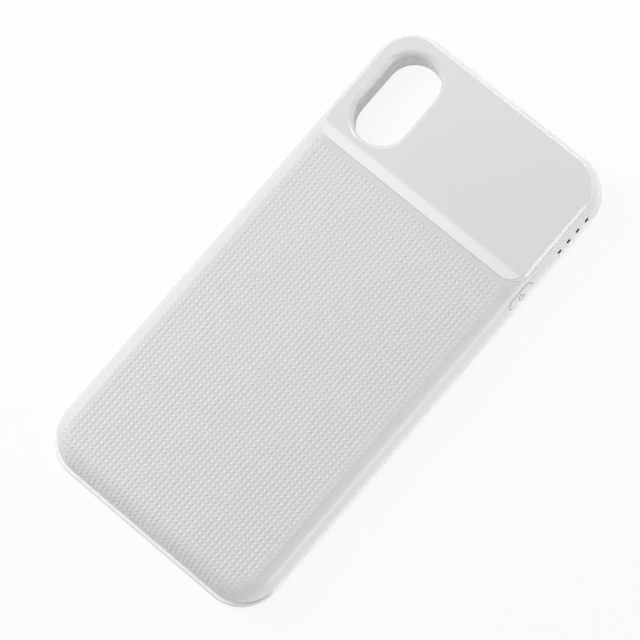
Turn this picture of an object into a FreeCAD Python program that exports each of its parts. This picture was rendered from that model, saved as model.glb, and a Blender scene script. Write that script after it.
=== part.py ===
"""Slim wireless power bank with a camera cut-out, as a parametric document in millimetres.

The bank lies on its charging side: X runs across it toward the button, Y along it toward the camera
cut-out, Z up from the flat charging face at zero. Every size is one cell of the sheet "sizes".
"""
import FreeCAD
import Part
import Sketcher
import math
import os
import re

V = FreeCAD.Vector
UP = V(0, 0, 1)

# Driving dimensions, one cell of the sheet each
SIZES = {
    # Overall outline and the two halves of the housing
    "body_length": 146.0,
    "body_width": 71.0,
    "corner_radius": 11.0,
    "frame_height": 2.6,
    "frame_flange": 3.0,
    "frame_foot_bevel": 0.5,
    "frame_rim_bevel": 0.3,
    "plate_inset": 1.6,
    "plate_thickness": 1.2,
    "plate_gap": 0.1,
    "plate_bevel": 0.3,
    "side_ledge": 0.25,
    "end_ledge": 1.1,
    "shell_top": 9.2,
    "shell_wall": 1.4,
    "edge_round": 5.4,
    "cell_bay_top": 7.8,
    "cell_bay_bevel": 2.5,
    "board_bay_top": 6.6,
    "board_bay_bevel": 1.5,
    "partition": 1.2,
    "wire_slot_width": 14.0,
    "wire_slot_height": 1.9,
    # Smooth panel round the camera cut-out
    "panel_margin": 5.3,
    "panel_inset": 2.0,
    "panel_corner": 5.5,
    "panel_seat": 7.5,
    "panel_top": 10.15,
    "panel_skin": 1.3,
    "panel_wall": 1.2,
    "panel_gap": 0.12,
    "panel_bevel": 0.64,
    "roll_length": 3.3,
    "roll_blend": 0.75,
    "roll_drop": 0.5,
    "pin_half": 0.7,
    "pin_gap": 0.1,
    "pin_reach": 0.75,
    "pin_from_front": 6.4,
    "pin_from_back": 9.6,
    # Camera tunnel
    "tunnel_side_margin": 5.95,
    "tunnel_end_margin": 6.0,
    "tunnel_width": 15.3,
    "tunnel_length": 27.0,
    "tunnel_wall": 1.2,
    "tunnel_gap": 0.15,
    "lip_bevel": 1.0,
    # Screw bosses
    "boss_radius": 2.2,
    "boss_height": 3.0,
    "boss_from_side": 8.0,
    "boss_sink": 0.4,
    "boss_room": 0.35,
    "tab_radius": 3.0,
    "screw_radius": 0.8,
    "screw_gap": 0.05,
    "screw_reach": 3.2,
    "head_radius": 1.3,
    "head_height": 0.7,
    "head_gap": 0.15,
    "web_under_head": 0.6,
    # Button, its switch and the lights
    "button_from_end": 38.25,
    "button_level": 5.2,
    "button_length": 8.6,
    "button_height": 3.2,
    "button_gap": 0.15,
    "button_proud": 0.15,
    "button_travel": 0.35,
    "button_rim": 0.2,
    "guide_depth": 1.45,
    "guide_margin": 2.3,
    "wing_length": 1.1,
    "wing_height": 2.0,
    "wing_thickness": 0.7,
    "wing_gap": 0.1,
    "switch_length": 4.0,
    "switch_depth": 3.0,
    "switch_height": 1.4,
    "switch_setback": 0.4,
    "plunger_width": 1.5,
    "plunger_height": 0.6,
    "plunger_level": 0.4,
    "plunger_gap": 0.1,
    "plunger_grip": 1.0,
    "light_from_end": 12.5,
    "light_pitch": 3.55,
    "light_length": 1.05,
    "light_height": 0.9,
    "light_gap": 0.1,
    "light_sink": 0.5,
    "light_bar_depth": 1.1,
    "light_bar_height": 1.1,
    "light_bar_end": 1.3,
    "diode_length": 1.6,
    "diode_depth": 1.1,
    "diode_height": 0.8,
    # Charging socket
    "port_from_side": 27.5,
    "port_level": 4.7,
    "port_width": 8.94,
    "port_height": 3.16,
    "port_depth": 7.3,
    "port_metal": 0.3,
    "port_gap": 0.17,
    "port_recess": 0.6,
    "port_ear": 1.3,
    "port_ear_thickness": 0.25,
    "tongue_width": 6.6,
    "tongue_thickness": 0.7,
    "tongue_setback": 0.9,
    "tongue_block_depth": 1.8,
    "tongue_block_height": 2.3,
    # Circuit board and what stands on it
    "board_level": 3.9,
    "board_thickness": 0.8,
    "board_edge_room": 2.95,
    "board_end_room": 0.5,
    "board_side_room": 1.0,
    "board_front_room": 1.3,
    "board_corner": 1.5,
    "board_end_corner": 9.0,
    "board_notch_gap": 0.2,
    "board_hole_inset": 3.2,
    "board_hole_from_port": 5.1,
    "post_radius": 2.0,
    "post_bite": 0.4,
    "driver_side": 5.0,
    "driver_from_front": 15.0,
    "charger_side": 4.0,
    "charger_from_front": 12.0,
    "charger_shift": 8.0,
    "control_side": 3.0,
    "control_from_back": 15.0,
    "control_shift": 6.0,
    "chip_height": 0.85,
    "inductor_side": 7.0,
    "inductor_height": 2.1,
    "inductor_bevel": 1.2,
    "inductor_from_front": 14.0,
    "inductor_shift": 7.0,
    "tank_length": 3.2,
    "tank_width": 1.6,
    "tank_height": 1.5,
    "tank_pitch": 2.6,
    "tank_from_left": 6.4,
    "tank_from_back": 15.4,
    "filter_length": 2.0,
    "filter_width": 1.25,
    "filter_height": 1.1,
    "filter_pitch": 2.2,
    "filter_from_front": 7.0,
    # Cell, coil and wires
    "cell_side_room": 3.9,
    "cell_front_room": 4.9,
    "cell_end_room": 4.6,
    "cell_corner": 2.5,
    "cell_edge_bevel": 1.0,
    "tape_thickness": 0.2,
    "tape_width": 9.0,
    "tape_margin": 6.0,
    "tape_spread": 30.0,
    "cell_board_width": 26.0,
    "cell_board_gap": 0.3,
    "cell_board_end_room": 0.8,
    "tab_width": 4.0,
    "tab_length": 2.8,
    "tab_thickness": 0.15,
    "tab_spread": 14.0,
    "wire_radius": 0.5,
    "wire_spread": 2.2,
    "wire_lap": 2.6,
    "coil_outer": 50.0,
    "coil_inner": 20.0,
    "coil_thickness": 0.8,
    "coil_from_split": 31.0,
    "ferrite_side": 53.0,
    "ferrite_thickness": 0.6,
    "stack_gap": 0.3,
    "coil_lead_half": 0.4,
    "coil_lead_offset": 4.0,
    "coil_lead_bend": 1.2,
    "coil_lead_inset": 3.5,
}

# Places worked out from the sizes, written once and used by every piece that meets there
PLACES = {
    "half_width": "body_width / 2",
    "half_length": "body_length / 2",
    "shell_right": "half_width - side_ledge",
    "shell_back": "half_length - side_ledge",
    "shell_front": "end_ledge - half_length",
    "shell_corner": "corner_radius - side_ledge",
    "round_level": "shell_top - edge_round",
    "bay_right": "shell_right - shell_wall",
    "bay_back": "shell_back - shell_wall",
    "bay_front": "shell_front + shell_wall",
    "bay_corner": "shell_corner - shell_wall",
    "bay_end": "button_y - button_length / 2 - wing_length - boss_room - boss_radius - partition / 2",
    "board_bay_front": "bay_end + partition",
    "panel_right": "half_width - panel_inset",
    "panel_back": "half_length - panel_inset",
    "panel_front": "tunnel_y - tunnel_length / 2 - panel_margin",
    "panel_end_corner": "corner_radius - panel_inset",
    "panel_ceiling": "panel_top - panel_skin",
    "roll_start": "panel_front + roll_length + roll_blend",
    "roll_slope": "roll_drop / roll_length",
    "tunnel_x": "tunnel_side_margin + tunnel_width / 2 - half_width",
    "tunnel_y": "half_length - tunnel_end_margin - tunnel_length / 2",
    "tube_width": "tunnel_width + 2 * tunnel_wall",
    "tube_length": "tunnel_length + 2 * tunnel_wall",
    "tube_right": "tunnel_x + tube_width / 2",
    "boss_top": "frame_height + boss_height",
    "head_seat": "frame_height - web_under_head",
    "bore_radius": "screw_radius + screw_gap",
    "board_top": "board_level + board_thickness",
    "board_right": "bay_right - board_edge_room",
    "board_left": "tube_right + board_side_room",
    "board_front": "board_bay_front + board_front_room",
    "board_back": "bay_back - board_end_room",
    "button_y": "half_length - button_from_end",
    "guide_face": "bay_right - guide_depth",
    "wing_face": "guide_face - wing_gap",
    "wing_back": "wing_face - wing_thickness",
    "switch_right": "board_right - switch_setback",
    "switch_left": "switch_right - switch_depth",
    "plunger_low": "board_top + plunger_level",
    "plunger_end": "switch_right - plunger_grip",
    "light_level": "board_top + diode_height / 2",
    "light_right": "shell_right - light_sink",
    "bar_left": "board_right + light_gap",
    "port_x": "half_width - port_from_side",
    "port_mouth": "shell_back - port_recess",
    "port_end": "port_mouth - port_depth",
    "cell_floor": "plate_thickness + coil_thickness + ferrite_thickness + stack_gap",
    "cell_roof": "cell_bay_top - tape_thickness",
    "cell_right": "bay_right - cell_side_room",
    "cell_front": "bay_front + cell_front_room",
    "cell_end": "bay_end - cell_end_room",
    "cell_board_front": "cell_end + cell_board_gap",
    "cell_board_end": "bay_end - cell_board_end_room",
    "coil_y": "bay_end - coil_from_split",
    "wire_level": "board_level - wire_radius",
    "wire_x": "board_left + board_hole_inset + wire_lap",
}

# Screws through the frame into the shell, and through the board into the shell
FRAME_SCREWS = [
    ("half_width - boss_from_side", "bay_front - boss_sink + boss_radius"),
    ("boss_from_side - half_width", "bay_front - boss_sink + boss_radius"),
    ("bay_right + boss_sink - boss_radius", "bay_end + partition / 2"),
    ("boss_radius - bay_right - boss_sink", "bay_end + partition / 2"),
]
BOARD_SCREWS = [
    ("board_left + board_hole_inset", "board_front + board_hole_inset"),
    ("port_x + port_width / 2 + board_hole_from_port", "board_back - board_hole_inset"),
]
PANEL_PINS = [
    ("board_right - board_hole_inset", "panel_back - pin_from_back"),
    ("board_left + board_hole_inset", "panel_front + pin_from_front"),
]
LIGHT_COUNT = 4
STUB_SIDES = 12

doc = FreeCAD.newDocument("power_bank")
sheet = doc.addObject("Spreadsheet::Sheet", "sizes")
for row, (alias, size) in enumerate(SIZES.items(), start=1):
    sheet.set(f"A{row}", alias)
    sheet.set(f"B{row}", str(size))
    sheet.setAlias(f"B{row}", alias)
doc.recompute()

NODES = []


def bound(text):
    """Expand place names and turn the names of sizes into references to the sheet."""
    def swap(match):
        word = match.group()
        if word in PLACES:
            return "(" + bound(PLACES[word]) + ")"
        return "sizes." + word if word in SIZES else word
    return re.sub(r"[a-z_]+", swap, text)


def number(text):
    """Value of an expression in sizes and places, used where drawn geometry starts."""
    return float(sheet.evalExpression(bound(text)))


def node(thing, label):
    """Name a finished object and list it as one node of the part."""
    thing.Label = label
    NODES.append(thing)
    return thing


def new_body(name):
    return doc.addObject("PartDesign::Body", name)


def new_sketch(body, name, level, role="XY_Plane"):
    """Empty sketch on one of the body's own origin planes, moved along its normal to level."""
    sketch = body.newObject("Sketcher::SketchObject", name)
    plane = next(item for item in body.Origin.OriginFeatures if item.Role == role)
    sketch.AttachmentSupport = (plane, [""])
    sketch.MapMode = "FlatFace"
    sketch.setExpression("AttachmentOffset.Base.z", bound(level))
    return sketch


def hold(sketch, kind, places, text):
    """Add a dimension to a sketch and bind it to an expression."""
    index = sketch.addConstraint(Sketcher.Constraint(kind, *places, number(text)))
    sketch.setExpression(f"Constraints[{index}]", bound(text))


def tie(sketch, kind, *places):
    sketch.addConstraint(Sketcher.Constraint(kind, *places))


def draw_box(sketch, left, right, front, back, front_corner=None, back_corner=None):
    """Draw a rectangle whose front and back corners are round, or sharp where no radius is given."""
    x0, x1, y0, y1 = (number(side) for side in (left, right, front, back))
    radii = [front_corner, back_corner, back_corner, front_corner]
    sizes = [number(radius) if radius else 0.0 for radius in radii]
    corners = [V(x1, y0), V(x1, y1), V(x0, y1), V(x0, y0)]
    ways = [V(1, 0), V(0, 1), V(-1, 0), V(0, -1)]
    sides = []
    for turn, way in enumerate(ways):
        start = corners[turn - 1] + way * sizes[turn - 1]
        end = corners[turn] - way * sizes[turn]
        sides.append(sketch.addGeometry(Part.LineSegment(start, end)))
    for turn, radius in enumerate(radii):
        side, following = sides[turn], sides[(turn + 1) % 4]
        if radius:
            centre = corners[turn] - ways[turn] * sizes[turn] + ways[(turn + 1) % 4] * sizes[turn]
            begin = math.pi / 2 * (turn - 1)
            circle = Part.Circle(centre, UP, sizes[turn])
            arc = sketch.addGeometry(Part.ArcOfCircle(circle, begin, begin + math.pi / 2))
            tie(sketch, "Tangent", side, 2, arc, 1)
            tie(sketch, "Tangent", arc, 2, following, 1)
            hold(sketch, "Radius", (arc,), radius)
        else:
            tie(sketch, "Coincident", side, 2, following, 1)
    for turn, side in enumerate(sides):
        tie(sketch, "Vertical" if turn % 2 else "Horizontal", side)
    hold(sketch, "DistanceY", (-1, 1, sides[0], 1), front)
    hold(sketch, "DistanceX", (-1, 1, sides[1], 1), right)
    hold(sketch, "DistanceY", (-1, 1, sides[2], 1), back)
    hold(sketch, "DistanceX", (-1, 1, sides[3], 1), left)


def draw_pill(sketch, x, y, long_side, short_side, upright=False):
    """Draw a slot with round ends, lying along the sketch's first axis or standing upright."""
    way = V(0, 1) if upright else V(1, 0)
    reach = f"(({long_side}) - ({short_side})) / 2"
    radius = number(f"({short_side}) / 2")
    middle = V(number(x), number(y))
    first = 0.0 if upright else -math.pi / 2
    arcs = []
    for end, begin in ((1, first), (-1, first + math.pi)):
        centre = middle + way * (end * number(reach))
        circle = Part.Circle(centre, UP, radius)
        arcs.append(sketch.addGeometry(Part.ArcOfCircle(circle, begin, begin + math.pi)))
    far, near = (sketch.Geometry[arc] for arc in arcs)
    there = sketch.addGeometry(Part.LineSegment(far.EndPoint, near.StartPoint))
    back = sketch.addGeometry(Part.LineSegment(near.EndPoint, far.StartPoint))
    for before, after in ((arcs[0], there), (there, arcs[1]), (arcs[1], back), (back, arcs[0])):
        tie(sketch, "Tangent", before, 2, after, 1)
    tie(sketch, "Equal", arcs[0], arcs[1])
    hold(sketch, "Radius", (arcs[0],), f"({short_side}) / 2")
    along, across = ("DistanceY", "DistanceX") if upright else ("DistanceX", "DistanceY")
    centre_along, centre_across = (y, x) if upright else (x, y)
    for arc, sign in zip(arcs, "+-"):
        hold(sketch, along, (-1, 1, arc, 3), f"({centre_along}) {sign} {reach}")
        hold(sketch, across, (-1, 1, arc, 3), centre_across)


def draw_circles(sketch, centres, radius):
    for x, y in centres:
        circle = sketch.addGeometry(Part.Circle(V(number(x), number(y)), UP, number(radius)))
        hold(sketch, "Radius", (circle,), radius)
        hold(sketch, "DistanceX", (-1, 1, circle, 3), x)
        hold(sketch, "DistanceY", (-1, 1, circle, 3), y)


def draw_squares(sketch, centres, half):
    for x, y in centres:
        draw_box(sketch, f"{x} - ({half})", f"{x} + {half}", f"{y} - ({half})", f"{y} + {half}")


def draw_light(sketch, index, gap):
    """Draw one light's slim rectangle on the side, wider all round by a gap."""
    y = f"half_length - light_from_end - {index} * light_pitch"
    draw_box(sketch, f"{y} - light_length / 2 - {gap}", f"{y} + light_length / 2 + {gap}",
             f"light_level - light_height / 2 - {gap}", f"light_level + light_height / 2 + {gap}")


def pad(body, name, sketch, length, flip=False):
    """Raise a sketch along its normal, or against it where flip is set."""
    feature = body.newObject("PartDesign::Pad", name)
    feature.Profile = sketch
    feature.setExpression("Length", bound(length))
    feature.Reversed = flip
    return feature


def pocket(body, name, sketch, length=None, flip=False):
    """Cut a sketch against its normal, or along it where flip is set, and check that it cut."""
    doc.recompute()
    before = body.Shape.Volume
    feature = body.newObject("PartDesign::Pocket", name)
    feature.Profile = sketch
    feature.Reversed = flip
    if length:
        feature.setExpression("Length", bound(length))
    else:
        feature.Type = "ThroughAll"
    doc.recompute()
    if not body.Shape.Volume < before:
        raise RuntimeError(f"{name} cut nothing")
    return feature


def dress(body, kind, name, size, wanted):
    """Fillet or chamfer the edges of the body that the test picks out."""
    doc.recompute()
    tip = body.Tip
    names = [f"Edge{index}" for index, edge in enumerate(tip.Shape.Edges, start=1) if wanted(edge)]
    if not names:
        raise RuntimeError(f"{name} found no edges")
    feature = body.newObject(f"PartDesign::{kind}", name)
    feature.Base = (tip, names)
    feature.setExpression("Radius" if kind == "Fillet" else "Size", bound(size))
    doc.recompute()
    return feature


def level_edges(level, left=None, right=None, front=None, back=None):
    """Test for edges that lie at one height with their middle outside the given limits."""
    z = number(level)

    def wanted(edge):
        box = edge.BoundBox
        if abs(box.ZMin - z) > 1e-4 or abs(box.ZMax - z) > 1e-4:
            return False
        spot = edge.valueAt((edge.FirstParameter + edge.LastParameter) / 2)
        tests = []
        if left:
            tests.append(spot.x < number(left))
        if right:
            tests.append(spot.x > number(right))
        if front:
            tests.append(spot.y < number(front))
        if back:
            tests.append(spot.y > number(back))
        return any(tests) if tests else True
    return wanted


def box(name, left, right, front, back, low, high):
    """Part box between two expressions on each axis."""
    thing = doc.addObject("Part::Box", name)
    spans = (("Length", "x", left, right), ("Width", "y", front, back), ("Height", "z", low, high))
    for side, axis, start, end in spans:
        thing.setExpression(side, bound(f"({end}) - ({start})"))
        thing.setExpression(f"Placement.Base.{axis}", bound(start))
    return thing


def block(name, x, y, length, width, low, high):
    """Part box with its middle at x and y."""
    return box(name, f"{x} - {length} / 2", f"{x} + {length} / 2",
               f"{y} - {width} / 2", f"{y} + {width} / 2", low, high)


def rod(name, radius, length, x, y, z, turn=None):
    """Part cylinder that starts at a point and runs up, or along Y where turn is given."""
    thing = doc.addObject("Part::Cylinder", name)
    if turn:
        thing.Placement.Rotation = turn
    thing.setExpression("Radius", bound(radius))
    thing.setExpression("Height", bound(length))
    for axis, place in zip("xyz", (x, y, z)):
        thing.setExpression(f"Placement.Base.{axis}", bound(place))
    return thing


def stub(name, radius, length, x, y, z):
    """Upright many-sided bar for a small turned piece that repeats."""
    thing = doc.addObject("Part::Prism", name)
    thing.Polygon = STUB_SIDES
    thing.setExpression("Circumradius", bound(radius))
    thing.setExpression("Height", bound(length))
    for axis, place in zip("xyz", (x, y, z)):
        thing.setExpression(f"Placement.Base.{axis}", bound(place))
    return thing


def joined(kind, name, things):
    """Part boolean or compound of several objects."""
    thing = doc.addObject(f"Part::{kind}", name)
    if kind == "Cut":
        thing.Base, thing.Tool = things
    elif kind == "Compound":
        thing.Links = things
    else:
        thing.Shapes = things
    return thing


def make_base_frame():
    """Rim that carries the shell: L-section ring with screw tabs."""
    body = new_body("frame_body")
    outline = new_sketch(body, "frame_outline", "0")
    draw_box(outline, "-half_width", "half_width", "-half_length", "half_length",
             "corner_radius", "corner_radius")
    pad(body, "frame_block", outline, "frame_height")
    opening = new_sketch(body, "frame_opening", "frame_height")
    draw_box(opening, "frame_flange - half_width", "half_width - frame_flange",
             "frame_flange - half_length", "half_length - frame_flange",
             "corner_radius - frame_flange", "corner_radius - frame_flange")
    pocket(body, "frame_ring", opening)
    tabs = new_sketch(body, "frame_tab_rounds", "plate_thickness")
    draw_circles(tabs, FRAME_SCREWS, "tab_radius")
    pad(body, "frame_tabs", tabs, "frame_height - plate_thickness")
    seat = new_sketch(body, "plate_seat_outline", "plate_thickness")
    draw_box(seat, "plate_inset - half_width", "half_width - plate_inset",
             "plate_inset - half_length", "half_length - plate_inset",
             "corner_radius - plate_inset", "corner_radius - plate_inset")
    pocket(body, "plate_seat", seat)
    bores = new_sketch(body, "frame_bore_rounds", "frame_height")
    draw_circles(bores, FRAME_SCREWS, "bore_radius")
    pocket(body, "frame_bores", bores)
    sinks = new_sketch(body, "frame_sink_rounds", "head_seat")
    draw_circles(sinks, FRAME_SCREWS, "head_radius + head_gap")
    pocket(body, "frame_sinks", sinks)
    rim = dict(left="plate_inset / 2 - half_width", right="half_width - plate_inset / 2",
               front="plate_inset / 2 - half_length", back="half_length - plate_inset / 2")
    corner = number("corner_radius")
    around = V(number("half_width"), number("half_length")) - V(corner, corner)

    def on_rim(level):
        flat = level_edges(level, **rim)
        z = number(level)

        def wanted(edge):
            if flat(edge):
                return True
            spot = edge.valueAt((edge.FirstParameter + edge.LastParameter) / 2)
            reach = V(abs(spot.x), abs(spot.y)) - around
            return abs(spot.z - z) < 1e-4 and min(reach.x, reach.y) > 0 and abs(reach.Length - corner) < 1e-3
        return wanted
    dress(body, "Chamfer", "frame_foot", "frame_foot_bevel", on_rim("0"))
    dress(body, "Chamfer", "frame_rim", "frame_rim_bevel", on_rim("frame_height"))
    node(body, "base_frame")


def make_charge_plate():
    """Flat charging face, bonded into the frame, with the hole that the camera tunnel fills."""
    body = new_body("plate_body")
    inset = "plate_inset + plate_gap"
    outline = new_sketch(body, "plate_outline", "0")
    draw_box(outline, f"{inset} - half_width", f"half_width - {inset.replace('+', '-')}",
             f"{inset} - half_length", f"half_length - {inset.replace('+', '-')}",
             f"corner_radius - {inset.replace('+', '-')}", f"corner_radius - {inset.replace('+', '-')}")
    pad(body, "plate_block", outline, "plate_thickness")
    hole = new_sketch(body, "plate_hole_outline", "plate_thickness")
    draw_pill(hole, "tunnel_x", "tunnel_y", "tube_length + 2 * tunnel_gap",
              "tube_width + 2 * tunnel_gap", upright=True)
    pocket(body, "plate_hole", hole)
    dress(body, "Chamfer", "plate_edge", "plate_bevel", level_edges("0"))
    node(body, "charge_plate")


def make_back_shell():
    """Moulded back: round-edged cover, two bays, camera tunnel, panel seat, bosses and side openings."""
    body = new_body("shell_body")
    foot = new_sketch(body, "shell_outline", "frame_height")
    draw_box(foot, "-shell_right", "shell_right", "shell_front", "shell_back", "shell_corner", "shell_corner")
    pad(body, "shell_block", foot, "shell_top - frame_height")
    tube = new_sketch(body, "tube_outline", "frame_height")
    draw_pill(tube, "tunnel_x", "tunnel_y", "tube_length", "tube_width", upright=True)
    pad(body, "tube_foot", tube, "frame_height", flip=True)
    cell_bay = new_sketch(body, "cell_bay_outline", "frame_height")
    draw_box(cell_bay, "-bay_right", "bay_right", "bay_front", "bay_end", front_corner="bay_corner")
    pocket(body, "cell_bay", cell_bay, "cell_bay_top - frame_height", flip=True)
    inside = "bay_right - shell_wall"
    dress(body, "Chamfer", "cell_bay_edge", "cell_bay_bevel",
          level_edges("cell_bay_top", left=f"-({inside})", right=inside, front="bay_front + bay_corner / 2"))
    board_bay = new_sketch(body, "board_bay_outline", "frame_height")
    draw_box(board_bay, "-bay_right", "bay_right", "board_bay_front", "bay_back", back_corner="bay_corner")
    draw_pill(board_bay, "tunnel_x", "tunnel_y", "tube_length", "tube_width", upright=True)
    pocket(body, "board_bay", board_bay, "board_bay_top - frame_height", flip=True)
    dress(body, "Chamfer", "board_bay_edge", "board_bay_bevel",
          level_edges("board_bay_top", left=f"-({inside})", right=inside, back="bay_back - bay_corner / 2"))
    dress(body, "Fillet", "shell_edge", "edge_round", level_edges("shell_top"))
    seat = new_sketch(body, "panel_seat_outline", "panel_seat")
    draw_box(seat, "-panel_right - panel_gap", "panel_right + panel_gap", "panel_front - panel_gap",
             "panel_back + panel_gap", "panel_corner + panel_gap", "panel_end_corner + panel_gap")
    pocket(body, "panel_recess", seat, flip=True)
    bore = new_sketch(body, "tunnel_outline", "panel_seat")
    draw_pill(bore, "tunnel_x", "tunnel_y", "tunnel_length", "tunnel_width", upright=True)
    pocket(body, "tunnel", bore)
    bosses = new_sketch(body, "boss_rounds", "frame_height")
    draw_circles(bosses, FRAME_SCREWS, "boss_radius")
    pad(body, "bosses", bosses, "boss_height")
    posts = new_sketch(body, "post_rounds", "board_top")
    draw_circles(posts, BOARD_SCREWS, "post_radius")
    pad(body, "posts", posts, "board_bay_top - board_top")
    guide = new_sketch(body, "guide_outline", "board_level")
    draw_box(guide, "guide_face", "bay_right + shell_wall / 2",
             "button_y - button_length / 2 - guide_margin", "button_y + button_length / 2 + guide_margin")
    pad(body, "button_guide", guide, "board_bay_top - board_level")
    boss_bores = new_sketch(body, "boss_bore_rounds", "frame_height")
    draw_circles(boss_bores, FRAME_SCREWS, "bore_radius")
    pocket(body, "boss_bores", boss_bores, "screw_reach - web_under_head + screw_gap", flip=True)
    post_bores = new_sketch(body, "post_bore_rounds", "board_top")
    draw_circles(post_bores, BOARD_SCREWS, "bore_radius")
    pocket(body, "post_bores", post_bores, "board_bay_top - board_top + post_bite", flip=True)
    pins = new_sketch(body, "pin_hole_outlines", "panel_seat")
    draw_squares(pins, PANEL_PINS, "pin_half + pin_gap")
    pocket(body, "pin_holes", pins, "panel_seat - board_bay_top")
    slot = new_sketch(body, "button_slot_outline", "wing_back - button_travel - button_gap", "YZ_Plane")
    draw_pill(slot, "button_y", "button_level", "button_length + 2 * button_gap",
              "button_height + 2 * button_gap")
    pocket(body, "button_slot", slot, flip=True)
    lights = new_sketch(body, "light_slot_outlines", "bar_left", "YZ_Plane")
    for index in range(LIGHT_COUNT):
        draw_light(lights, index, "light_gap")
    pocket(body, "light_slots", lights, flip=True)
    port = new_sketch(body, "port_hole_outline", "-bay_back + board_bay_bevel", "XZ_Plane")
    draw_pill(port, "port_x", "port_level", "port_width + 2 * port_gap", "port_height + 2 * port_gap")
    pocket(body, "port_hole", port)
    wires = new_sketch(body, "wire_slot_outline", "frame_height")
    draw_box(wires, "wire_x - wire_spread", "wire_x + wire_slot_width", "bay_end - partition / 2",
             "board_bay_front + partition / 2")
    pocket(body, "wire_slot", wires, "wire_slot_height", flip=True)
    node(body, "back_shell")


def make_camera_panel():
    """Smooth bevelled panel: sloped lower edge, bevelled camera lip, hollow underside and locating pins."""
    body = new_body("panel_body")
    outline = new_sketch(body, "panel_outline", "panel_seat")
    draw_box(outline, "-panel_right", "panel_right", "panel_front", "panel_back",
             "panel_corner", "panel_end_corner")
    pad(body, "panel_block", outline, "panel_top - panel_seat")
    dress(body, "Chamfer", "panel_edge", "panel_bevel", level_edges("panel_top"))
    roll = new_sketch(body, "roll_outline", "-half_width", "YZ_Plane")
    blend = number("roll_blend")
    clear = number("roll_drop")
    slope = number("roll_slope")
    begin = V(number("roll_start"), number("panel_top"))
    corner = begin - V(blend, 0)
    downhill = V(-1, -slope).normalize()
    lean = math.atan(slope)
    radius = blend / math.tan(lean / 2)
    circle = Part.Circle(begin - V(0, radius), UP, radius)
    arc = roll.addGeometry(Part.ArcOfCircle(circle, math.pi / 2, math.pi / 2 + lean))
    low = V(number("panel_front") - clear, begin.y - slope * (corner.x - number("panel_front") + clear))
    run = roll.addGeometry(Part.LineSegment(corner + downhill * blend, low))
    above = V(low.x, begin.y + clear)
    side = roll.addGeometry(Part.LineSegment(low, above))
    top = roll.addGeometry(Part.LineSegment(above, V(begin.x, above.y)))
    drop = roll.addGeometry(Part.LineSegment(V(begin.x, above.y), begin))
    tie(roll, "Tangent", arc, 2, run, 1)
    for before, after in ((run, side), (side, top), (top, drop), (drop, arc)):
        tie(roll, "Coincident", before, 2, after, 1)
    tie(roll, "Vertical", side)
    tie(roll, "Horizontal", top)
    tie(roll, "Vertical", drop)
    hold(roll, "DistanceX", (-1, 1, arc, 3), "roll_start")
    hold(roll, "DistanceX", (-1, 1, arc, 1), "roll_start")
    hold(roll, "DistanceY", (-1, 1, arc, 1), "panel_top")
    hold(roll, "DistanceX", (-1, 1, side, 1), "panel_front - roll_drop")
    hold(roll, "DistanceY", (-1, 1, side, 1), "panel_top - roll_drop - roll_slope * roll_drop")
    hold(roll, "DistanceY", (-1, 1, top, 1), "panel_top + roll_drop")
    pocket(body, "panel_roll", roll, "body_width", flip=True)
    hole = new_sketch(body, "camera_hole_outline", "panel_top")
    draw_pill(hole, "tunnel_x", "tunnel_y", "tunnel_length", "tunnel_width", upright=True)
    pocket(body, "camera_hole", hole)

    def camera_rim(edge):
        left, right = edge.BoundBox.XMin, edge.BoundBox.XMax
        x = number("tunnel_x")
        near = max(x - left, right - x) < number("tunnel_width / 2 + lip_bevel")
        return near and level_edges("panel_top")(edge)
    dress(body, "Chamfer", "camera_lip", "lip_bevel", camera_rim)
    hollow = new_sketch(body, "panel_hollow_outline", "panel_seat")
    draw_box(hollow, "panel_wall - panel_right", "panel_right - panel_wall", "panel_front + panel_wall",
             "panel_back - panel_wall", "panel_corner - panel_wall", "panel_end_corner - panel_wall")
    draw_pill(hollow, "tunnel_x", "tunnel_y", "tunnel_length + 2 * panel_wall",
              "tunnel_width + 2 * panel_wall", upright=True)
    pocket(body, "panel_hollow", hollow, "panel_ceiling - panel_seat", flip=True)
    pins = new_sketch(body, "pin_outlines", "panel_seat - pin_reach")
    draw_squares(pins, PANEL_PINS, "pin_half")
    pad(body, "panel_pins", pins, "panel_ceiling - panel_seat + pin_reach")
    node(body, "camera_panel")


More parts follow.
